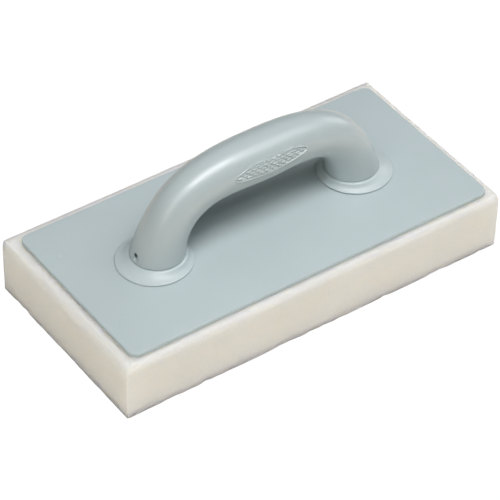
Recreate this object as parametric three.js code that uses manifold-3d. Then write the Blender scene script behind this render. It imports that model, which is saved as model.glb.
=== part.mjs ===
// Sponge grout float: a foam pad glued under a thin plastic plate, with a hollow moulded bow
// handle that stands on two conical collars and is screwed on from below, under the foam.
// Millimetres. +X runs along the long side, +Z is up, and the origin is the centre of the
// foam pad's underside. The handle's bow lies in a plane parallel to XZ.

import * as THREE from 'three';
import { mergeVertices } from 'three/addons/utils/BufferGeometryUtils.js';
import Module from 'manifold-3d';

const wasm = await Module();
wasm.setup();

// Driving dimensions
const PAD = { length: 280, width: 140, height: 39.5, corner: 4, roundTop: 5, roundBottom: 0.6 };
const GLUE = { length: 260, width: 120, thickness: 0.5, corner: 5 };
const PLATE = { length: 268, width: 128, thickness: 3, corner: 6, round: 0.8 };
// The plate sits a little off the pad's centre, as glued by hand.
const PLATE_SHIFT = new THREE.Vector2(1.5, -0.5);

const FOOT_SPAN = 76.9; // plate centre to collar centre, along X
const COLLAR = { rim: 24.5, top: 17.8, height: 5.3, lean: 3.6, bore: 14.3 };
const RIM = { height: 0.9, round: 0.5 }; // the collar's upright outer edge, and its round
const FLANK_START = 0.6; // the flank's slope at the rim, next to its mean slope
const SPIGOT = { radius: 14, span: 75.2, overlap: 2 }; // the leg's end inside its collar
const FIT_GAP = 0.3; // between pieces that plug into each other

const BOW = { foot: 74, crown: 91.4, lean: 7, footPull: 54.2, crownPull: 26.8 };
const GRIP = { footRadius: 18.3, shoulderRadius: 14.9, crownRadius: 16.4 };
const SHOULDER_AT = 0.5; // share of the way from the crown to the foot
const WALL = 4;
const SOLID_END = 16; // length of each leg that isn't hollow
const DOME = 0.06; // share of the hollow's length that each of its round ends takes
const VENT = { radius: 1.6, height: 8.1, reach: 19 };

const SCREW = { pitch: 8.5, shank: 1.5, thread: 1.95, head: 3.7, headHeight: 2, length: 16 };
const DRIVE = { radius: 1.6, depth: 1.2 };
const THREAD_PITCH = 2.4;
const SCREWS_PER_FOOT = 4;

const PLATE_BOTTOM = PAD.height + GLUE.thickness;
const PLATE_TOP = PLATE_BOTTOM + PLATE.thickness;
const COLLAR_TOP = PLATE_TOP + COLLAR.height;
const HEAD_RECESS = 0.2; // how far the screw heads sit below the plate's underside
const CUT_PAST = 1; // how far a cutting body runs past the face that it cuts

// Facets round a circle, and steps in a quarter-round
const SIDES = { collar: 40, countersink: 20, pilot: 14, screw: 12, spigot: 32, vent: 12 };
const ROUND_STEPS = { corner: 6, pad: 5, plate: 3 };

const FEET = [
  { name: 'left', side: -1 },
  { name: 'right', side: 1 },
];

// ---------------------------------------------------------------- closed meshes and booleans

function geometryOf(points, faces) {
  const geometry = new THREE.BufferGeometry();
  geometry.setAttribute('position', new THREE.Float32BufferAttribute(points.flat(), 3));
  geometry.setIndex(faces.flat());
  return geometry;
}

// Joins a list of rings, each with the same number of points, into one skin. With closed set,
// the last ring joins the first. Otherwise each end is filled from its own middle.
function skinOfRings(rings, closed) {
  const count = rings[0].length;
  const points = rings.flat();
  const faces = [];
  const links = closed ? rings.length : rings.length - 1;
  for (let i = 0; i < links; i++) {
    const here = i * count;
    const next = ((i + 1) % rings.length) * count;
    for (let j = 0; j < count; j++) {
      const k = (j + 1) % count;
      faces.push([here + j, here + k, next + k], [here + j, next + k, next + j]);
    }
  }
  if (!closed) {
    const last = (rings.length - 1) * count;
    const start = points.push(middleOf(rings[0])) - 1;
    const end = points.push(middleOf(rings[rings.length - 1])) - 1;
    for (let j = 0; j < count; j++) {
      const k = (j + 1) % count;
      faces.push([start, k, j], [end, last + j, last + k]);
    }
  }
  return geometryOf(points, faces);
}

function middleOf(ring) {
  const sum = ring.reduce((total, p) => [total[0] + p[0], total[1] + p[1], total[2] + p[2]]);
  return sum.map((value) => value / ring.length);
}

function solidOf(geometry) {
  const bare = geometry.clone();
  bare.deleteAttribute('normal');
  bare.deleteAttribute('uv');
  const merged = mergeVertices(bare, 1e-4);
  const mesh = new wasm.Mesh({
    numProp: 3,
    vertProperties: new Float32Array(merged.attributes.position.array),
    triVerts: new Uint32Array(merged.index.array),
  });
  return new wasm.Manifold(mesh);
}

function geometryFromSolid(solid) {
  const mesh = solid.getMesh();
  const geometry = new THREE.BufferGeometry();
  geometry.setAttribute('position', new THREE.BufferAttribute(mesh.vertProperties, 3));
  geometry.setIndex(new THREE.BufferAttribute(mesh.triVerts, 1));
  return geometry;
}

// ---------------------------------------------------------------- outlines

// A rectangle with round corners, counter-clockwise seen from above, at height z.
function roundedRectangle(length, width, corner, inset, z) {
  const steps = ROUND_STEPS.corner;
  const least = 0.5; // so that a large inset keeps a round corner
  const radius = Math.max(corner - inset, least);
  const x = length / 2 - inset - radius;
  const y = width / 2 - inset - radius;
  const centres = [[x, y], [-x, y], [-x, -y], [x, -y]];
  const ring = [];
  centres.forEach(([cx, cy], quarter) => {
    for (let i = 0; i <= steps; i++) {
      const angle = (quarter + i / steps) * (Math.PI / 2);
      ring.push([cx + radius * Math.cos(angle), cy + radius * Math.sin(angle), z]);
    }
  });
  return ring;
}

// Insets and heights of a quarter-round edge that starts at full size, at height z.
function quarterRound(radius, z, steps) {
  const list = [];
  for (let i = 0; i <= steps; i++) {
    const angle = (i / steps) * (Math.PI / 2);
    list.push({ inset: radius * (1 - Math.cos(angle)), z: z + radius * Math.sin(angle) });
  }
  return list;
}

// The cylinder's axis runs from one point to the other.
function rodBetween(from, to, radius, sides) {
  const axis = new THREE.Vector3().subVectors(to, from);
  const rod = new THREE.CylinderGeometry(radius, radius, axis.length(), sides);
  const upright = new THREE.Vector3(0, 1, 0);
  const turn = new THREE.Quaternion().setFromUnitVectors(upright, axis.clone().normalize());
  rod.applyQuaternion(turn);
  const middle = new THREE.Vector3().addVectors(from, to).multiplyScalar(0.5);
  rod.translate(middle.x, middle.y, middle.z);
  return rod;
}

// A standing solid of revolution around (x, y), from a profile of radius and height pairs.
function turned(profile, x, y, sides) {
  const lathe = new THREE.LatheGeometry(profile.map(([r, z]) => new THREE.Vector2(r, z)), sides);
  lathe.rotateX(Math.PI / 2);
  lathe.translate(x, y, 0);
  return lathe;
}

// ---------------------------------------------------------------- screw places

function screwPlaces(foot) {
  const places = [];
  for (let i = 0; i < SCREWS_PER_FOOT; i++) {
    const angle = ((i + 0.5) / SCREWS_PER_FOOT) * 2 * Math.PI;
    const x = PLATE_SHIFT.x + foot.side * SPIGOT.span + SCREW.pitch * Math.cos(angle);
    const y = PLATE_SHIFT.y + SCREW.pitch * Math.sin(angle);
    places.push(new THREE.Vector2(x, y));
  }
  return places;
}

const screwBase = PLATE_BOTTOM + HEAD_RECESS;
const screwTip = screwBase + SCREW.length;

// ---------------------------------------------------------------- pad, glue and plate

function padGeometry() {
  const full = { inset: 0, z: PAD.roundBottom };
  const edges = [
    { inset: PAD.roundBottom, z: 0 },
    full,
    ...quarterRound(PAD.roundTop, PAD.height - PAD.roundTop, ROUND_STEPS.pad),
  ];
  const rings = edges.map(({ inset, z }) =>
    roundedRectangle(PAD.length, PAD.width, PAD.corner, inset, z));
  return skinOfRings(rings, false);
}

function glueGeometry() {
  const rings = [PAD.height, PLATE_BOTTOM].map((z) =>
    roundedRectangle(GLUE.length, GLUE.width, GLUE.corner, 0, z));
  const glue = skinOfRings(rings, false);
  glue.translate(PLATE_SHIFT.x, PLATE_SHIFT.y, 0);
  return glue;
}

function plateGeometry() {
  const edges = [
    { inset: 0, z: PLATE_BOTTOM },
    ...quarterRound(PLATE.round, PLATE_TOP - PLATE.round, ROUND_STEPS.plate),
  ];
  const rings = edges.map(({ inset, z }) =>
    roundedRectangle(PLATE.length, PLATE.width, PLATE.corner, inset, z));
  const blank = skinOfRings(rings, false);
  blank.translate(PLATE_SHIFT.x, PLATE_SHIFT.y, 0);
  let plate = solidOf(blank);
  const mouth = SCREW.head + FIT_GAP;
  const shank = SCREW.thread + FIT_GAP;
  const countersink = [
    [0, PLATE_BOTTOM - CUT_PAST],
    [mouth, PLATE_BOTTOM - CUT_PAST],
    [mouth, PLATE_BOTTOM + HEAD_RECESS],
    [shank, PLATE_BOTTOM + HEAD_RECESS + SCREW.headHeight],
    [shank, PLATE_TOP + CUT_PAST],
    [0, PLATE_TOP + CUT_PAST],
  ];
  for (const foot of FEET) {
    for (const place of screwPlaces(foot)) {
      const hole = turned(countersink, place.x, place.y, SIDES.countersink);
      plate = plate.subtract(solidOf(hole));
    }
  }
  return geometryFromSolid(plate);
}

// ---------------------------------------------------------------- collars

// A cone with a hollow flank: its top leans towards the handle's middle, as the leg does.
function collarGeometry(foot) {
  const sides = SIDES.collar;
  const flankSteps = 5;
  const circles = [{ radius: COLLAR.rim, height: 0 }, { radius: COLLAR.rim, height: RIM.height }];
  for (let i = 0; i <= flankSteps; i++) {
    const share = i / flankSteps;
    const start = COLLAR.rim - RIM.round;
    const base = RIM.height + RIM.round;
    const climb = FLANK_START * share + (1 - FLANK_START) * share * share;
    circles.push({
      radius: start + (COLLAR.top - start) * share,
      height: base + (COLLAR.height - base) * climb,
    });
  }
  const centreX = PLATE_SHIFT.x + foot.side * FOOT_SPAN;
  const boreX = PLATE_SHIFT.x + foot.side * SPIGOT.span;
  const circleAt = (x, radius, height) => {
    const ring = [];
    for (let j = 0; j < sides; j++) {
      const angle = (j / sides) * 2 * Math.PI;
      ring.push([
        x + radius * Math.cos(angle),
        PLATE_SHIFT.y + radius * Math.sin(angle),
        PLATE_TOP + height,
      ]);
    }
    return ring;
  };
  const rings = circles.map(({ radius, height }) => {
    const lean = (COLLAR.lean * height) / COLLAR.height;
    return circleAt(centreX - foot.side * lean, radius, height);
  });
  rings.push(circleAt(boreX, COLLAR.bore, COLLAR.height));
  rings.push(circleAt(boreX, COLLAR.bore, 0));
  return skinOfRings(rings, true);
}

// ---------------------------------------------------------------- handle

// The bow's centre line: two mirrored curves that meet level at the crown.
function bowCurve() {
  const lean = THREE.MathUtils.degToRad(BOW.lean);
  const half = (side) => {
    const at = (x, z) => new THREE.Vector3(PLATE_SHIFT.x + side * x, PLATE_SHIFT.y, z);
    return [
      at(BOW.foot, PLATE_TOP),
      at(BOW.foot - BOW.footPull * Math.sin(lean), PLATE_TOP + BOW.footPull * Math.cos(lean)),
      at(BOW.crownPull, BOW.crown),
      at(0, BOW.crown),
    ];
  };
  const path = new THREE.CurvePath();
  path.add(new THREE.CubicBezierCurve3(...half(-1)));
  path.add(new THREE.CubicBezierCurve3(...half(1).reverse()));
  return path;
}

// The grip's radius along the bow: fullest at the crown, slimmest at the shoulders, and
// flared towards each foot.
function gripRadius(share) {
  const out = Math.abs(2 * share - 1);
  const { footRadius, shoulderRadius, crownRadius } = GRIP;
  const bulge = (1 + Math.cos(Math.PI * Math.min(out / SHOULDER_AT, 1))) / 2;
  const flare = Math.max((out - SHOULDER_AT) / (1 - SHOULDER_AT), 0) ** 3;
  return shoulderRadius + (crownRadius - shoulderRadius) * bulge
    + (footRadius - shoulderRadius) * flare;
}

// A round section carried along a stretch of the bow; radiusAt gives its radius.
function bentRod(path, from, to, steps, sides, radiusAt) {
  const rings = [];
  for (let i = 0; i <= steps; i++) {
    const share = from + ((to - from) * i) / steps;
    const centre = path.getPointAt(share);
    const tangent = path.getTangentAt(share);
    const across = new THREE.Vector3(-tangent.z, 0, tangent.x);
    const radius = radiusAt(share, i / steps);
    const ring = [];
    for (let j = 0; j < sides; j++) {
      const angle = (j / sides) * 2 * Math.PI;
      const out = radius * Math.cos(angle);
      ring.push([
        centre.x + across.x * out,
        centre.y - radius * Math.sin(angle),
        centre.z + across.z * out,
      ]);
    }
    rings.push(ring);
  }
  return skinOfRings(rings, false);
}

function handleGeometry() {
  const path = bowCurve();
  const length = path.getLength();
  const skin = { steps: 56, sides: 28 };
  const lining = { steps: 50, sides: 16 };
  let handle = solidOf(bentRod(path, 0, 1, skin.steps, skin.sides, gripRadius));

  const seat = COLLAR_TOP + FIT_GAP;
  const below = new THREE.BoxGeometry(PAD.length, PAD.width, seat);
  below.translate(0, 0, seat / 2);
  handle = handle.subtract(solidOf(below));

  for (const foot of FEET) {
    const x = PLATE_SHIFT.x + foot.side * SPIGOT.span;
    const spigot = [
      [0, PLATE_TOP + FIT_GAP],
      [SPIGOT.radius, PLATE_TOP + FIT_GAP],
      [SPIGOT.radius, seat + SPIGOT.overlap],
      [0, seat + SPIGOT.overlap],
    ];
    handle = handle.add(solidOf(turned(spigot, x, PLATE_SHIFT.y, SIDES.spigot)));
  }

  const cavityStart = SOLID_END / length;
  const hollowRadius = (share, along) => {
    const end = Math.min(along, 1 - along) / DOME;
    const round = end >= 1 ? 1 : Math.sqrt(1 - (1 - end) ** 2);
    return Math.max((gripRadius(share) - WALL) * round, 1);
  };
  const from = cavityStart;
  const to = 1 - cavityStart;
  const hollow = bentRod(path, from, to, lining.steps, lining.sides, hollowRadius);
  handle = handle.subtract(solidOf(hollow));

  // The gas vent: a small hole in the left leg's outer side that slants up into the hollow.
  const inside = path.getPointAt(VENT.reach / length);
  const middle = path.getPointAt(VENT.height / length);
  const mouth = new THREE.Vector3(middle.x - GRIP.footRadius - CUT_PAST, middle.y, middle.z);
  handle = handle.subtract(solidOf(rodBetween(mouth, inside, VENT.radius, SIDES.vent)));

  const pilot = SCREW.thread + FIT_GAP;
  for (const foot of FEET) {
    for (const place of screwPlaces(foot)) {
      const start = new THREE.Vector3(place.x, place.y, PLATE_TOP - CUT_PAST);
      const end = new THREE.Vector3(place.x, place.y, screwTip + FIT_GAP);
      handle = handle.subtract(solidOf(rodBetween(start, end, pilot, SIDES.pilot)));
    }
  }
  return geometryFromSolid(handle);
}

// ---------------------------------------------------------------- screws

// A countersunk screw that points up, with a round drive recess and raised rings as its thread.
function screwGeometry() {
  const neck = SCREW.headHeight;
  const tipHeight = 2;
  const profile = [
    [0, DRIVE.depth],
    [DRIVE.radius, DRIVE.depth],
    [DRIVE.radius, 0],
    [SCREW.head, 0],
    [SCREW.shank, neck],
  ];
  for (let z = neck + THREAD_PITCH; z < SCREW.length - tipHeight; z += THREAD_PITCH) {
    profile.push([SCREW.shank, z - THREAD_PITCH / 4]);
    profile.push([SCREW.thread, z]);
    profile.push([SCREW.shank, z + THREAD_PITCH / 4]);
  }
  profile.push([SCREW.shank, SCREW.length - tipHeight + THREAD_PITCH / 2]);
  profile.push([0, SCREW.length]);
  return turned(profile, 0, 0, SIDES.screw);
}

// ---------------------------------------------------------------- assembly

function material(colour, roughness, metalness = 0) {
  return new THREE.MeshStandardMaterial({ color: colour, roughness, metalness });
}

function piece(name, geometry, look) {
  const mesh = new THREE.Mesh(geometry, look);
  mesh.name = name;
  return mesh;
}

const float = new THREE.Group();
float.add(piece('foam_pad', padGeometry(), material(0xe6e2d6, 0.95)));
float.add(piece('glue_layer', glueGeometry(), material(0xd9cfa8, 0.6)));
float.add(piece('backing_plate', plateGeometry(), material(0xb9c6cc, 0.5)));
float.add(piece('handle', handleGeometry(), material(0xb4bfc3, 0.35)));

for (const foot of FEET) {
  const collar = collarGeometry(foot);
  float.add(piece(`${foot.name}_collar`, collar, material(0xbcc9cf, 0.4)));
  screwPlaces(foot).forEach((place, i) => {
    const name = `${foot.name}_foot_screw_${i + 1}`;
    const screw = piece(name, screwGeometry(), material(0xb8b8b4, 0.35, 1));
    screw.position.set(place.x, place.y, screwBase);
    float.add(screw);
  });
}

export default float;
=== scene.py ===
"""Looks of the sponge grout float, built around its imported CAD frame. Metres, +Z up."""

import math
import random

import bmesh
import bpy
import numpy as np
from mathutils import Matrix, Vector, noise


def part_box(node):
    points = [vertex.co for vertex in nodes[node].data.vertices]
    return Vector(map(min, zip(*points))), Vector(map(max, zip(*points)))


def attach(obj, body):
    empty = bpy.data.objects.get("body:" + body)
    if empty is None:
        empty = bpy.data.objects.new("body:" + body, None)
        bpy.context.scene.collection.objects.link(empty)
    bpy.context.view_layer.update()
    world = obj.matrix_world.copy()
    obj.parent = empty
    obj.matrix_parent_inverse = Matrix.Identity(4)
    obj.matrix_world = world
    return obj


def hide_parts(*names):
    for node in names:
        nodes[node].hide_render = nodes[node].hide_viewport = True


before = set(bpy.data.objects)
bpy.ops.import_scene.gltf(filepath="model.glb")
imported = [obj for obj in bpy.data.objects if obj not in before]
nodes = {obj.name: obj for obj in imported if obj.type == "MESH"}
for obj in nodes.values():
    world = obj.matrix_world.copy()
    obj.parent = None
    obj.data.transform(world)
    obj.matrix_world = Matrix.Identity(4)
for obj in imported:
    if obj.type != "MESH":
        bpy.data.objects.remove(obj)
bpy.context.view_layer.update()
MM = 0.001

# ------------------------------------------------------------------ sizes from the frame

pad_low, pad_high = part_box("foam_pad")
plate_low, plate_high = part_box("backing_plate")
handle_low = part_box("handle")[0]
left_low, left_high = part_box("left_collar")
right_low, right_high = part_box("right_collar")

PLATE_X = (plate_low.x + plate_high.x) / 2
PLATE_Y = (plate_low.y + plate_high.y) / 2
PLATE_TOP = plate_high.z
COLLAR_TOP = left_high.z
COLLAR_RIM = (left_high.y - left_low.y) / 2

# The bow's centre line and girth, as in the CAD source.
FOOT_X = 74.0 * MM
CROWN_Z = 91.4 * MM
LEAN = math.radians(7)
FOOT_PULL = 54.2 * MM
CROWN_PULL = 26.8 * MM
FOOT_RADIUS = 18.3 * MM
SHOULDER_RADIUS = 14.9 * MM
CROWN_RADIUS = 16.4 * MM
COLLAR_TOP_RADIUS = 17.8 * MM
COLLAR_LEAN = 3.6 * MM
BORE_RADIUS = 14.3 * MM
SPIGOT_RADIUS = 14.0 * MM
SPIGOT_X = 75.2 * MM
VENT_Z = PLATE_TOP + 8.1 * MM
VENT_RADIUS = 1.6 * MM

# Rings of plan points are spaced as if round the pad, so that all have the same count.
RING_SIZE = (pad_high.x - pad_low.x, pad_high.y - pad_low.y)


# ------------------------------------------------------------------ helpers


def smoothstep(low, high, value):
    t = np.clip((value - low) / (high - low), 0, 1)
    return t * t * (3 - 2 * t)


def mesh_object(name, points, faces):
    mesh = bpy.data.meshes.new(name)
    mesh.from_pydata([tuple(p) for p in points], [], faces)
    mesh.validate()
    piece = bpy.data.objects.new(name, mesh)
    bpy.context.scene.collection.objects.link(piece)
    return piece


def join_rings(rings, closed=False):
    """Points and quads of a skin over rings of equal count; open ends are filled by one face each."""
    count = len(rings[0])
    points = [tuple(p) for ring in rings for p in ring]
    faces = []
    links = len(rings) if closed else len(rings) - 1
    for i in range(links):
        here, there = i * count, ((i + 1) % len(rings)) * count
        for j in range(count):
            k = (j + 1) % count
            faces.append((here + j, here + k, there + k, there + j))
    if not closed:
        last = (len(rings) - 1) * count
        faces.append(tuple(reversed(range(count))))
        faces.append(tuple(last + j for j in range(count)))
    return points, faces


def finish_mesh(piece, sharp_angle):
    """Outward normals, smooth shading, and sharp edges above an angle in degrees."""
    mesh = piece.data
    work = bmesh.new()
    work.from_mesh(mesh)
    bmesh.ops.remove_doubles(work, verts=work.verts, dist=1e-7)
    bmesh.ops.recalc_face_normals(work, faces=work.faces)
    work.to_mesh(mesh)
    work.free()
    mesh.shade_smooth()
    mesh.set_sharp_from_angle(angle=math.radians(sharp_angle))


def apply_boolean(piece, other, operation):
    """Cuts or joins another mesh into a piece, then removes the other."""
    modifier = piece.modifiers.new("boolean", "BOOLEAN")
    modifier.object = other
    modifier.operation = operation
    modifier.solver = "EXACT"
    graph = bpy.context.evaluated_depsgraph_get()
    made = bpy.data.meshes.new_from_object(piece.evaluated_get(graph))
    piece.modifiers.clear()
    piece.data = made
    bpy.data.objects.remove(other)


def rounded_rectangle(low, high, corner, spacing, arc_steps):
    """Plan points of a rectangle with round corners. The count depends only on the spacing."""
    long_steps, short_steps = (max(2, round(size / spacing)) for size in RING_SIZE)
    x0, y0 = low[0] + corner, low[1] + corner
    x1, y1 = high[0] - corner, high[1] - corner
    centres = ((x1, y1), (x0, y1), (x0, y0), (x1, y0))
    steps = (long_steps, short_steps, long_steps, short_steps)
    ring = []
    for quarter, (cx, cy) in enumerate(centres):
        for i in range(arc_steps + 1):
            angle = (quarter + i / arc_steps) * math.pi / 2
            ring.append((cx + corner * math.cos(angle), cy + corner * math.sin(angle)))
        end = ring[-1]
        nx, ny = centres[(quarter + 1) % 4]
        angle = (quarter + 1) * math.pi / 2
        start = (nx + corner * math.cos(angle), ny + corner * math.sin(angle))
        for i in range(1, steps[quarter]):
            share = i / steps[quarter]
            x = end[0] + (start[0] - end[0]) * share
            ring.append((x, end[1] + (start[1] - end[1]) * share))
    return ring


# ------------------------------------------------------------------ node helpers


class Graph:
    """A material's node tree, with short calls to add and link nodes."""

    def __init__(self, name):
        self.material = bpy.data.materials.new(name)
        self.material.use_nodes = True
        self.tree = self.material.node_tree
        self.shader = self.tree.nodes["Principled BSDF"]
        coordinates = self.tree.nodes.new("ShaderNodeTexCoord")
        self.place = coordinates.outputs["Object"]

    def link(self, source, target):
        self.tree.links.new(source, target)

    def node(self, kind, **inputs):
        made = self.tree.nodes.new(kind)
        for name, value in inputs.items():
            socket = made.inputs[name.replace("_", " ")]
            if isinstance(value, bpy.types.NodeSocket):
                self.link(value, socket)
            else:
                socket.default_value = value
        return made

    def noise(self, scale, detail=3.0, roughness=0.5, vector=None):
        made = self.node(
            "ShaderNodeTexNoise", Vector=vector or self.place, Scale=scale, Detail=detail, Roughness=roughness
        )
        return made.outputs["Fac"]

    def ramp(self, source, stops):
        made = self.node("ShaderNodeValToRGB", Fac=source)
        elements = made.color_ramp.elements
        while len(elements) < len(stops):
            elements.new(0.5)
        for element, (position, colour) in zip(elements, stops):
            element.position = position
            element.color = (*colour, 1)
        return made.outputs["Color"]

    def range(self, source, low, high, to_low, to_high):
        made = self.node(
            "ShaderNodeMapRange",
            Value=source,
            From_Min=low,
            From_Max=high,
            To_Min=to_low,
            To_Max=to_high,
        )
        return made.outputs["Result"]

    def mix(self, factor, first, second, blend="MIX"):
        made = self.tree.nodes.new("ShaderNodeMix")
        made.data_type = "RGBA"
        made.blend_type = blend
        for name, value in (("Factor_Float", factor), ("A_Color", first), ("B_Color", second)):
            socket = next(s for s in made.inputs if s.identifier == name)
            if isinstance(value, bpy.types.NodeSocket):
                self.link(value, socket)
            else:
                socket.default_value = value
        return next(s for s in made.outputs if s.identifier == "Result_Color")

    def math(self, operation, first, second):
        made = self.tree.nodes.new("ShaderNodeMath")
        made.operation = operation
        for socket, value in zip(made.inputs, (first, second)):
            if isinstance(value, bpy.types.NodeSocket):
                self.link(value, socket)
            else:
                socket.default_value = value
        return made.outputs[0]

    def bump(self, height, strength, distance, under=None):
        made = self.node("ShaderNodeBump", Height=height, Strength=strength, Distance=distance)
        if under is not None:
            self.link(under, made.inputs["Normal"])
        return made.outputs["Normal"]


def set_shader(graph, **values):
    for name, value in values.items():
        socket = graph.shader.inputs[name.replace("_", " ")]
        if isinstance(value, bpy.types.NodeSocket):
            graph.link(value, socket)
        else:
            socket.default_value = value


# ------------------------------------------------------------------ materials


def foam_material():
    """Cream cellular foam: soft light inside, fine pores painted darker as painted shade, a little
    dirt-yellow unevenness.
    """
    graph = Graph("cream_foam")
    broad = graph.noise(28, 2, 0.5)
    fine = graph.noise(900, 3, 0.6)
    colour = graph.ramp(
        broad,
        [(0.30, (0.856, 0.848, 0.782)), (0.70, (0.888, 0.880, 0.818))],
    )
    cells = graph.node("ShaderNodeTexVoronoi", Vector=graph.place, Scale=620.0, Randomness=1.0)
    pore = graph.range(cells.outputs["Distance"], 0.0, 0.45, 1.0, 0.0)
    large_cells = graph.node("ShaderNodeTexVoronoi", Vector=graph.place, Scale=210.0, Randomness=1.0)
    large_pore = graph.range(large_cells.outputs["Distance"], 0.0, 0.18, 1.0, 0.0)
    # Pores and large cells are painted darker in colour: painted shade in the pits that the bump sinks.
    pore_shade = graph.math("MULTIPLY", graph.math("MAXIMUM", pore, large_pore), 0.10)
    colour = graph.mix(pore_shade, colour, (0.62, 0.56, 0.44, 1))
    height = graph.math("SUBTRACT", fine, graph.math("MULTIPLY", pore, 0.6))
    normal = graph.bump(height, 0.35, 0.0005)
    normal = graph.bump(graph.math("MULTIPLY", large_pore, -1.0), 0.30, 0.0007, normal)
    set_shader(
        graph,
        Base_Color=colour,
        Roughness=graph.range(broad, 0.3, 0.7, 0.88, 0.97),
        Specular_IOR_Level=0.15,
        Subsurface_Weight=1.0,
        Subsurface_Radius=(0.023, 0.022, 0.0178),
        Subsurface_Scale=1.0,
        Sheen_Weight=0.05,
        Normal=normal,
    )
    return graph.material


def plastic_material(name, dark, light, roughness, grain, coat=0.0):
    """Moulded plastic: faint cloudy tint, uneven gloss, a fine mould grain and a polished skin."""
    graph = Graph(name)
    cloud = graph.noise(16, 3, 0.55)
    colour = graph.ramp(cloud, [(0.32, dark), (0.68, light)])
    smear = graph.noise(22, 2, 0.5)
    grain_height = graph.noise(1500, 2, 0.5)
    wave = graph.noise(38, 1, 0.4)
    normal = graph.bump(wave, 0.05, 0.0006)
    normal = graph.bump(grain_height, grain, 0.00005, normal)
    set_shader(
        graph,
        Base_Color=colour,
        Roughness=graph.range(smear, 0.3, 0.7, roughness[0], roughness[1]),
        IOR=1.49,
        Specular_IOR_Level=0.5 + coat,
        Coat_Weight=coat,
        Coat_Roughness=0.14,
        Normal=normal,
    )
    return graph.material


def glue_material():
    graph = Graph("contact_glue")
    blots = graph.noise(120, 4, 0.6)
    colour = graph.ramp(blots, [(0.30, (0.56, 0.47, 0.24)), (0.70, (0.74, 0.66, 0.42))])
    set_shader(
        graph,
        Base_Color=colour,
        Roughness=graph.range(blots, 0.3, 0.7, 0.35, 0.6),
        Normal=graph.bump(blots, 0.5, 0.0004),
    )
    return graph.material


def steel_material():
    graph = Graph("zinc_steel")
    frost = graph.noise(700, 4, 0.65)
    colour = graph.ramp(frost, [(0.30, (0.50, 0.50, 0.47)), (0.70, (0.72, 0.72, 0.70))])
    set_shader(
        graph,
        Base_Color=colour,
        Metallic=1.0,
        Roughness=graph.range(frost, 0.3, 0.7, 0.25, 0.45),
        Normal=graph.bump(frost, 0.2, 0.0001),
    )
    return graph.material


PLATE_DARK, PLATE_LIGHT = (0.488, 0.570, 0.592), (0.508, 0.590, 0.612)
materials = {
    "cream_foam": foam_material(),
    "contact_glue": glue_material(),
    "plate_plastic": plastic_material("plate_plastic", PLATE_DARK, PLATE_LIGHT, (0.40, 0.46), 0.05),
    "grip_plastic": plastic_material(
        "grip_plastic", (0.474, 0.549, 0.567), (0.486, 0.561, 0.579), (0.32, 0.35), 0.02, 0.3
    ),
    # The collars are the same plastic as the plate and grip, given a lighter colour: painted light on their
    # flanks.
    "collar_plastic": plastic_material(
        "collar_plastic", (0.515, 0.600, 0.622), (0.535, 0.620, 0.642), (0.38, 0.42), 0.02, 0.1
    ),
    "zinc_steel": steel_material(),
}


def dress(piece, slot_name, stands_for):
    """Gives a piece its material and body, and hides the CAD nodes that it stands for."""
    piece.data.materials.clear()
    piece.data.materials.append(materials[slot_name])
    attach(piece, "root")
    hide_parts(*stands_for)


# ------------------------------------------------------------------ foam block


# How far in and how far down the foam's top edge is rounded on each side.
SOFT_LEFT = (5.2 * MM, 7.5 * MM)
SOFT_FRONT = (3.2 * MM, 5.0 * MM)
SOFT_RIGHT = (0.2 * MM, 1.5 * MM)
SOFT_BACK = (1.1 * MM, 3.5 * MM)


def softened(z, top, inward, down):
    """How far in a side stands at height z, where its top edge is rounded off as a quarter ellipse."""
    share = max(0.0, z - (top - down)) / down
    return inward * (1 - math.sqrt(max(0.0, 1 - share * share)))


def foam_rings():
    """Rings of the foam block from its underside to its top, where each side has its own softness."""
    top = plate_low.z
    corner = 1.1 * MM
    proud = 0.45 * MM
    low, high = 1.3 * MM, top - SOFT_LEFT[1]
    # Inset and height of each ring, first those that round the lower edge.
    levels = [(0.5 * MM, 0.0), (0.2 * MM, 0.08 * MM), (0.04 * MM, 0.35 * MM), (0.0, low)]
    side_steps, round_steps = 16, 14
    for i in range(1, side_steps):
        levels.append((0.0, low + (high - low) * i / side_steps))
    for i in range(round_steps + 1):
        levels.append((0.0, high + (top - high) * math.sin(i / round_steps * math.pi / 2)))
    levels.append((3.0 * MM, top))
    rings = []
    for inset, z in levels:
        x0 = pad_low.x - proud + inset + softened(z, top, *SOFT_LEFT)
        x1 = pad_high.x - inset - softened(z, top, *SOFT_RIGHT)
        y0 = pad_low.y + inset + softened(z, top, *SOFT_FRONT)
        y1 = pad_high.y - inset - softened(z, top, *SOFT_BACK)
        plan = rounded_rectangle((x0, y0), (x1, y1), corner, 1.8 * MM, 6)
        rings.append([(x, y, z) for x, y in plan])
    return rings


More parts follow.
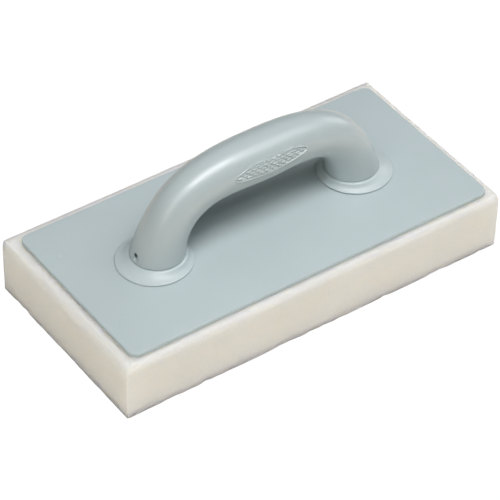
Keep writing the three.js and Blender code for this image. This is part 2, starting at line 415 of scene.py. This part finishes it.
def foam_block():
    """A cut block of foam with soft upper edges, a slightly uneven cut and small nicks below."""
    rings = foam_rings()
    points, faces = join_rings(rings)
    dice = random.Random(7)
    count = len(rings[0])
    # Nicks along the lower edge: where, how wide and how deep.
    nicks = []
    for _ in range(60):
        place, width = dice.random() * count, dice.uniform(0.6, 2.6)
        nicks.append((place, width, dice.uniform(0.1, 0.7) * MM))
    top = plate_low.z
    # Only points this close to a side are pulled in, and nicks fade out this far above the ground.
    margin, nick_reach = 12 * MM, 5 * MM
    moved = []
    for index, (x, y, z) in enumerate(points):
        column = index % count
        near_low = max(0.0, 1 - z / nick_reach)
        spot = Vector((x, y, z))
        broad_wave, fine_wave = noise.noise(spot * 26), noise.noise(spot * 140)
        pull = (broad_wave * 0.25 + fine_wave * 0.08) * MM
        for place, width, depth in nicks:
            gap = abs(column - place)
            gap = min(gap, count - gap)
            if gap < 3 * width:
                pull += depth * math.exp(-((gap / width) ** 2)) * near_low
        # The left edge is cut sharper towards the back corner.
        sharper = smoothstep(30 * MM, 70 * MM, y) * (1 - smoothstep(0, margin, x - pad_low.x - SOFT_LEFT[0]))
        x -= float(0.75 * sharper) * softened(z, top, *SOFT_LEFT)
        toward_x = (x > pad_high.x - margin) - (x < pad_low.x + margin)
        toward_y = (y > pad_high.y - margin) - (y < pad_low.y + margin)
        lift = 0.0
        if 0 < z < 2 * MM:
            lift = max(0.0, noise.noise(Vector((x * 90, y * 90, 3.1)))) * 0.5 * MM
        if z < top - 0.1 * MM:
            moved.append((x - toward_x * pull, y - toward_y * pull, z + lift))
        else:
            moved.append((x, y, z))
    piece = mesh_object("foam_block", moved, faces)
    finish_mesh(piece, 60)
    dress(piece, "cream_foam", ["foam_pad"])
    return piece


# ------------------------------------------------------------------ plate


def ring_of_revolution(centre, major, minor, steps, sides):
    """A closed torus lying flat, which apply_boolean uses up."""
    rings = []
    for i in range(steps):
        around = 2 * math.pi * i / steps
        ring = []
        for j in range(sides):
            angle = 2 * math.pi * j / sides
            radius = major + minor * math.cos(angle)
            ring.append(
                (
                    centre[0] + radius * math.cos(around),
                    centre[1] + radius * math.sin(around),
                    centre[2] + minor * math.sin(angle),
                )
            )
        rings.append(ring)
    points, faces = join_rings(rings, closed=True)
    piece = mesh_object("cutter", points, faces)
    finish_mesh(piece, 60)
    return piece


def top_plate():
    """The thin moulded plate: round corners, a rolled upper edge, and two faint ejector rings."""
    corner = 6 * MM
    roll = 0.8 * MM
    edges = [(0.35 * MM, plate_low.z), (0.0, plate_low.z + 0.35 * MM)]
    steps = 6
    for i in range(steps + 1):
        angle = i / steps * math.pi / 2
        edges.append((roll * (1 - math.cos(angle)), PLATE_TOP - roll + roll * math.sin(angle)))
    rings = []
    for inset, z in edges:
        low = (plate_low.x + inset, plate_low.y + inset)
        high = (plate_high.x - inset, plate_high.y - inset)
        plan = rounded_rectangle(low, high, corner - inset, 12 * MM, 14)
        rings.append([(x, y, z) for x, y in plan])
    points, faces = join_rings(rings)
    piece = mesh_object("top_plate", points, faces)
    finish_mesh(piece, 30)
    mark_x, mark_sink, mark_radius, mark_bead = 121 * MM, 0.27 * MM, 3.1 * MM, 0.45 * MM
    for mark_y in (-35.4 * MM, 34.4 * MM):
        centre = (PLATE_X - mark_x, PLATE_Y + mark_y, PLATE_TOP - mark_sink)
        apply_boolean(piece, ring_of_revolution(centre, mark_radius, mark_bead, 48, 12), "UNION")
    piece.data.shade_smooth()
    piece.data.set_sharp_from_angle(angle=math.radians(25))
    dress(piece, "plate_plastic", ["backing_plate"])
    return piece


# ------------------------------------------------------------------ collars


def collar(side, low, high):
    """A cone with a soft lip round the leg, an upright rim and a thin shadow gap under it."""
    sides = 144
    rim_x = (low.x + high.x) / 2
    rim_y = (low.y + high.y) / 2
    height = high.z - low.z
    # Radius and height over the plate: the shadow gap, the upright rim and the flank's start.
    profile = [
        (COLLAR_RIM - 0.9 * MM, 0.0),
        (COLLAR_RIM - 0.9 * MM, 0.36 * MM),
        (COLLAR_RIM - 0.05 * MM, 0.46 * MM),
        (COLLAR_RIM, 0.80 * MM),
        (COLLAR_RIM - 0.07 * MM, 1.00 * MM),
        (COLLAR_RIM - 0.25 * MM, 1.18 * MM),
        (COLLAR_RIM - 0.55 * MM, 1.32 * MM),
    ]
    start = (COLLAR_RIM - 0.9 * MM, 1.48 * MM)
    end = (COLLAR_TOP_RADIUS + 1.1 * MM, height - 0.62 * MM)
    steps = 9
    for i in range(steps + 1):
        share = i / steps
        # The flank gets steeper towards the leg.
        climb = 0.5 * share + 0.5 * share**2.5
        profile.append((start[0] + (end[0] - start[0]) * share, start[1] + (end[1] - start[1]) * climb))
    profile += [
        (COLLAR_TOP_RADIUS + 0.75 * MM, height - 0.28 * MM),
        (COLLAR_TOP_RADIUS + 0.35 * MM, height - 0.09 * MM),
        (COLLAR_TOP_RADIUS - 0.15 * MM, height),
        (COLLAR_TOP_RADIUS - 1.0 * MM, height),
    ]
    rings = []
    for radius, z in profile:
        centre = rim_x - side * COLLAR_LEAN * z / height
        rings.append(circle(centre, rim_y, low.z + z, radius, sides))
    bore_x = PLATE_X + side * SPIGOT_X
    rings.append(circle(bore_x, rim_y, low.z + height, BORE_RADIUS, sides))
    rings.append(circle(bore_x, rim_y, low.z, BORE_RADIUS, sides))
    points, faces = join_rings(rings, closed=True)
    name = "left" if side < 0 else "right"
    piece = mesh_object(f"{name}_cone_collar", points, faces)
    finish_mesh(piece, 40)
    dress(piece, "collar_plastic", [f"{name}_collar"])
    return piece


def circle(x, y, z, radius, sides):
    turns = [2 * math.pi * j / sides for j in range(sides)]
    return [(x + radius * math.cos(a), y + radius * math.sin(a), z) for a in turns]


# ------------------------------------------------------------------ bow handle

CURVE_STEPS = 4000


def bow_table():
    """Arc length, place and direction along the bow's left half, foot to crown, from its middle plane."""
    t = np.linspace(0, 1, CURVE_STEPS)[:, None]
    p0 = np.array([-FOOT_X, PLATE_TOP])
    p1 = p0 + FOOT_PULL * np.array([math.sin(LEAN), math.cos(LEAN)])
    p3 = np.array([0.0, CROWN_Z])
    p2 = p3 - np.array([CROWN_PULL, 0.0])
    place = (1 - t) ** 3 * p0 + 3 * (1 - t) ** 2 * t * p1 + 3 * (1 - t) * t**2 * p2 + t**3 * p3
    slope = 3 * (1 - t) ** 2 * (p1 - p0) + 6 * (1 - t) * t * (p2 - p1) + 3 * t**2 * (p3 - p2)
    slope /= np.linalg.norm(slope, axis=1)[:, None]
    length = np.r_[0, np.cumsum(np.linalg.norm(np.diff(place, axis=0), axis=1))]
    return length, place, slope


ARC, ARC_PLACE, ARC_SLOPE = bow_table()
HALF_LENGTH = ARC[-1]


def bow_at(along):
    """Centre, direction and radius at a signed distance from the crown; arrays in, arrays out."""
    from_foot = HALF_LENGTH - np.abs(along)
    x = np.interp(from_foot, ARC, ARC_PLACE[:, 0])
    z = np.interp(from_foot, ARC, ARC_PLACE[:, 1])
    dx = np.interp(from_foot, ARC, ARC_SLOPE[:, 0])
    dz = np.interp(from_foot, ARC, ARC_SLOPE[:, 1])
    mirrored = np.where(along > 0, -1.0, 1.0)
    x, dz = x * mirrored, dz * mirrored
    # The bow is thinnest at the shoulder, half way from crown to foot.
    out = np.abs(along) / HALF_LENGTH
    shoulder = 0.5
    bulge = (1 + np.cos(math.pi * np.minimum(out / shoulder, 1))) / 2
    flare = np.maximum((out - shoulder) / (1 - shoulder), 0) ** 3
    radius = SHOULDER_RADIUS + (CROWN_RADIUS - SHOULDER_RADIUS) * bulge
    radius = radius + (FOOT_RADIUS - SHOULDER_RADIUS) * flare
    return x, z, dx, dz, radius


def bow_surface(along, turn, raise_by=0.0):
    """Skin point; turn 0 is the outer side of the arch and 90 degrees the -Y side."""
    x, z, dx, dz, radius = bow_at(along)
    out = (radius + raise_by) * np.cos(turn)
    across = (radius + raise_by) * np.sin(turn)
    return np.stack([PLATE_X + x - dz * out, PLATE_Y - across, z + dx * out], -1)


def emblem_height(along, turn):
    """A plain moulded grip mark: an oval bead round rows of short dashes, laid like bricks."""
    up = (math.pi / 2 - turn) * CROWN_RADIUS
    # From here to the last line, lengths are in millimetres from the mark's centre.
    tilt = 0.020
    x = (along + 0.3 * MM) / MM
    y = (up - 3.2 * MM) / MM - tilt * x
    half_long, half_tall = 26.4, 5.0
    reach = np.sqrt((x / half_long) ** 2 + (y / half_tall) ** 2)
    slope = np.sqrt((x / half_long**2) ** 2 + (y / half_tall**2) ** 2) / np.maximum(reach, 1e-6)
    from_edge = (reach - 1) / np.maximum(slope, 1e-6)
    bead = 1 - smoothstep(0.12, 0.52, np.abs(from_edge))
    inside = smoothstep(0.2, 0.7, -from_edge)
    row_pitch, dash_pitch = 1.75, 4.2
    row = np.floor(y / row_pitch + 0.5)
    shift = (row % 2) * dash_pitch / 2
    from_row = y - row * row_pitch
    from_dash = (x + shift + 100 * dash_pitch) % dash_pitch - dash_pitch / 2
    dash = (1 - smoothstep(0.20, 0.50, np.abs(from_row))) * (1 - smoothstep(1.20, 1.65, np.abs(from_dash)))
    marks = dash * smoothstep(0.9, 1.3, -from_edge)
    bead_height, recess, dash_height = 0.45, 0.35, 0.80
    return (bead_height * bead - recess * inside + dash_height * marks) * MM


def handle_rows():
    """Signed distances from the crown of the full rings, closer together where the mark is."""
    fine, coarse = 0.36 * MM, 1.3 * MM
    mark_end = 29.5 * MM
    inner = np.linspace(-mark_end, mark_end, round(2 * mark_end / fine) + 1)
    foot_zone = 20 * MM
    last_full = HALF_LENGTH - foot_zone
    outer = np.linspace(mark_end, last_full, round((last_full - mark_end) / coarse) + 1)[1:]
    return np.r_[-outer[::-1], inner, outer]


def handle_turns():
    """Angles round the section, closer together at the mark and at the vent."""
    stops = [(-15, 15, 1.5), (15, 66, 3), (66, 104, 0.95), (104, 345, 3)]
    turns = []
    for start, end, step in stops:
        count = round((end - start) / step)
        turns += [start + (end - start) * i / count for i in range(count)]
    return np.radians(np.array(turns))


def foot_rows(side, turns, seat, last_full):
    """Rings from the last full ring down to a level cut at the seat."""
    halvings, steps = 40, 44
    low = np.zeros_like(turns)
    for i, turn in enumerate(turns):
        near, far = last_full, HALF_LENGTH
        for _ in range(halvings):
            middle = (near + far) / 2
            height = bow_surface(np.array([side * middle]), np.array([turn]))[0, 2]
            if height > seat:
                near = middle
            else:
                far = middle
        low[i] = (near + far) / 2
    rows = []
    for i in range(1, steps + 1):
        share = i / steps
        rows.append(side * (last_full + (low - last_full) * share))
    return rows


def vent_middle():
    """Where the vent opens: on the left leg's outer side."""
    from_foot = np.linspace(0, 20 * MM, 400)
    outer_side = bow_surface(-(HALF_LENGTH - from_foot), np.zeros(len(from_foot)))
    return outer_side[np.argmin(np.abs(outer_side[:, 2] - VENT_Z))]


def hollow_round_vent(points):
    """A shallow dimple round the vent."""
    deepest, flat_radius, outer_radius = 0.30 * MM, 2.2 * MM, 3.6 * MM
    gap = np.linalg.norm(points - vent_middle(), axis=-1)
    depth = deepest * (1 - smoothstep(flat_radius, outer_radius, gap))
    moved = points.copy()
    moved[..., 0] += depth
    return moved


def shrink_ring(ring, inset, z):
    """A level ring at height z, whose points lie nearer the middle than those of another ring."""
    middle = ring.mean(0)
    out = ring[:, :2] - middle[:2]
    distance = np.linalg.norm(out, axis=1)[:, None]
    plan = middle[:2] + out * (1 - inset / distance)
    return np.c_[plan, np.full(len(ring), z)]


def vent_cutter():
    """A narrow round bore, which opens into a wider dark chamber inside the leg."""
    mouth = vent_middle()
    aim_above_foot = 19 * MM
    inner_x, inner_z, _, _, _ = bow_at(np.array([-(HALF_LENGTH - aim_above_foot)]))
    inner = np.array([PLATE_X + inner_x[0], PLATE_Y, inner_z[0]])
    axis = Vector(inner - mouth).normalized()
    turn = axis.to_track_quat("Z", "Y")
    chamber_radius = 2.8 * MM
    # Radius and depth below the skin.
    profile = [
        (VENT_RADIUS, -1.2 * MM),
        (VENT_RADIUS, 0.0),
        (VENT_RADIUS, 0.6 * MM),
        (VENT_RADIUS, 1.2 * MM),
        (chamber_radius, 2.4 * MM),
        (chamber_radius, 11 * MM),
    ]
    rings = []
    for radius, depth in profile:
        ring = circle(0, 0, depth, radius, 36)
        rings.append([tuple(turn @ Vector(p) + Vector(mouth)) for p in ring])
    points, faces = join_rings(rings)
    cutter = mesh_object("cutter", points, faces)
    finish_mesh(cutter, 60)
    return cutter


def bow_handle():
    """The bow: one skin from foot to foot, level cuts over the collars and plugs into them."""
    seat = COLLAR_TOP + 0.18 * MM
    # Inset and height over the seat of the rings that round the foot's lower edge, inwards.
    round_off = [(0.06 * MM, 0.32 * MM), (0.2 * MM, 0.14 * MM), (0.45 * MM, 0.03 * MM), (0.8 * MM, 0.0)]
    edge_lift = 0.55 * MM
    turns = handle_turns()
    full = handle_rows()
    last_full = full[-1]
    rows = [np.full(len(turns), a) for a in full]
    rows = foot_rows(-1, turns, seat, last_full)[::-1] + rows + foot_rows(1, turns, seat, last_full)
    along = np.array(rows)
    around = np.broadcast_to(turns, along.shape)
    raise_by = emblem_height(along, around)
    skin = hollow_round_vent(bow_surface(along, around, raise_by))
    ends = []
    for side, edge in ((-1, skin[0]), (1, skin[-1])):
        centre_x = PLATE_X + side * SPIGOT_X
        closing = [shrink_ring(edge, inset, seat + lift) for inset, lift in round_off]
        angles = np.arctan2(edge[:, 1] - PLATE_Y, edge[:, 0] - centre_x)
        for z in (seat, handle_low.z):
            plug = np.c_[
                centre_x + SPIGOT_RADIUS * np.cos(angles),
                PLATE_Y + SPIGOT_RADIUS * np.sin(angles),
                np.full(len(angles), z),
            ]
            closing.append(plug)
        ends.append(closing)
        edge[:, 2] += edge_lift
    rings = ends[0][::-1] + list(skin) + ends[1]
    points, faces = join_rings([[tuple(p) for p in ring] for ring in rings])
    piece = mesh_object("bow_handle", points, faces)
    finish_mesh(piece, 50)
    apply_boolean(piece, vent_cutter(), "DIFFERENCE")
    piece.data.shade_smooth()
    piece.data.set_sharp_from_angle(angle=math.radians(38))
    dress(piece, "grip_plastic", ["handle"])
    return piece


foam_block()
top_plate()
collar(-1, left_low, left_high)
collar(1, right_low, right_high)
bow_handle()

# The glue layer and the screws keep their CAD shapes.
for name, node in nodes.items():
    if name == "glue_layer" or "_foot_screw_" in name:
        slot_name = "contact_glue" if name == "glue_layer" else "zinc_steel"
        node.data.materials.clear()
        node.data.materials.append(materials[slot_name])

# ------------------------------------------------------------------ floor, light and camera


def plain_sheet(name, half, z, colour):
    corners = [(-half, -half, z), (half, -half, z), (half, half, z), (-half, half, z)]
    piece = mesh_object(name, corners, [(0, 1, 2, 3)])
    graph = Graph(name)
    set_shader(graph, Base_Color=(*colour, 1), Roughness=0.9, Specular_IOR_Level=0.1)
    piece.data.materials.append(graph.material)
    return piece


def white_sweep(name, radius, z, glow):
    """A white table that curves up into a dome all round. It glows evenly and lights nothing."""
    sides, steps = 48, 12
    rings = [circle(0, 0, z, 0.3, sides), circle(0, 0, z, radius, sides)]
    for i in range(1, steps):
        climb = i / steps * math.pi / 2
        rings.append(circle(0, 0, z + radius * math.sin(climb), radius * math.cos(climb), sides))
    points, faces = join_rings(rings)
    piece = mesh_object(name, points, faces)
    graph = Graph(name)
    set_shader(graph, Base_Color=(0, 0, 0, 1), Specular_IOR_Level=0.0)
    set_shader(graph, Emission_Color=(1, 1, 1, 1), Emission_Strength=glow)
    piece.data.materials.append(graph.material)
    for flag in ("visible_diffuse", "visible_glossy", "visible_transmission", "visible_shadow"):
        setattr(piece, flag, False)
    return piece


floor = plain_sheet("floor", 6.0, -0.0002, (0.93, 0.87, 0.79))
floor.visible_camera = False
white_sweep("white_sweep", 6.0, -0.0004, 1.05)

world = bpy.data.worlds.new("studio")
bpy.context.scene.world = world
world.use_nodes = True
sky = world.node_tree.nodes["Background"]
sky.inputs["Color"].default_value = (1.0, 0.80, 0.50, 1)
sky.inputs["Strength"].default_value = 0.013


def softbox(name, tilt_x, tilt_y, length, width, power, colour=(1, 1, 1)):
    """An area light over the float. Its two tilts from straight up, in degrees, go towards +X and +Y."""
    middle = Vector((0, 0, 0.05))
    distance = 1.7
    light = bpy.data.lights.new(name, "AREA")
    light.shape = "RECTANGLE"
    light.size, light.size_y = length, width
    light.energy = power
    light.color = colour
    piece = bpy.data.objects.new(name, light)
    bpy.context.scene.collection.objects.link(piece)
    out = Vector((math.tan(math.radians(tilt_x)), math.tan(math.radians(tilt_y)), 1)).normalized()
    along = (Vector((1, 0, 0)) - out * out.x).normalized()
    piece.location = middle + out * distance
    piece.rotation_mode = "QUATERNION"
    piece.rotation_quaternion = Matrix((along, out.cross(along), out)).transposed().to_quaternion()
    return piece


# Tilts in degrees, length and width in metres, power in watts.
softbox("key", -3, -18.5, 1.15, 0.55, 12.1)
softbox("long_strip", 0, -20, 4.0, 1.0, 26.8)
softbox("back_strip", 10, 28, 2.5, 0.9, 1.7)
softbox("left_fill", -64, -43, 0.6, 0.5, 2.3, (1.0, 0.92, 0.78))
softbox("right_fill", 70, 18, 0.8, 0.7, 3.8)
softbox("back_fill", -40, 30, 0.8, 0.8, 0.4, (0.8, 1.0, 0.95))

scene = bpy.context.scene
scene.view_settings.view_transform = "Standard"

CAMERA_PLACE = Vector((-0.82916, -1.14125, 1.27518))
CAMERA_AIM = Vector((0.0026, 0.0060, 0.0072))
CAMERA_ROLL = math.radians(1.20)

camera_data = bpy.data.cameras.new("camera")
camera_data.sensor_width = 36
camera_data.lens = 216.8
camera_data.clip_start, camera_data.clip_end = 0.05, 50
camera_data.shift_x, camera_data.shift_y = -0.001, 0.001
camera = bpy.data.objects.new("camera", camera_data)
scene.collection.objects.link(camera)
camera.location = CAMERA_PLACE
camera.rotation_mode = "QUATERNION"
level = (CAMERA_AIM - CAMERA_PLACE).to_track_quat("-Z", "Y")
camera.rotation_quaternion = level @ Matrix.Rotation(CAMERA_ROLL, 3, "Z").to_quaternion()
scene.camera = camera
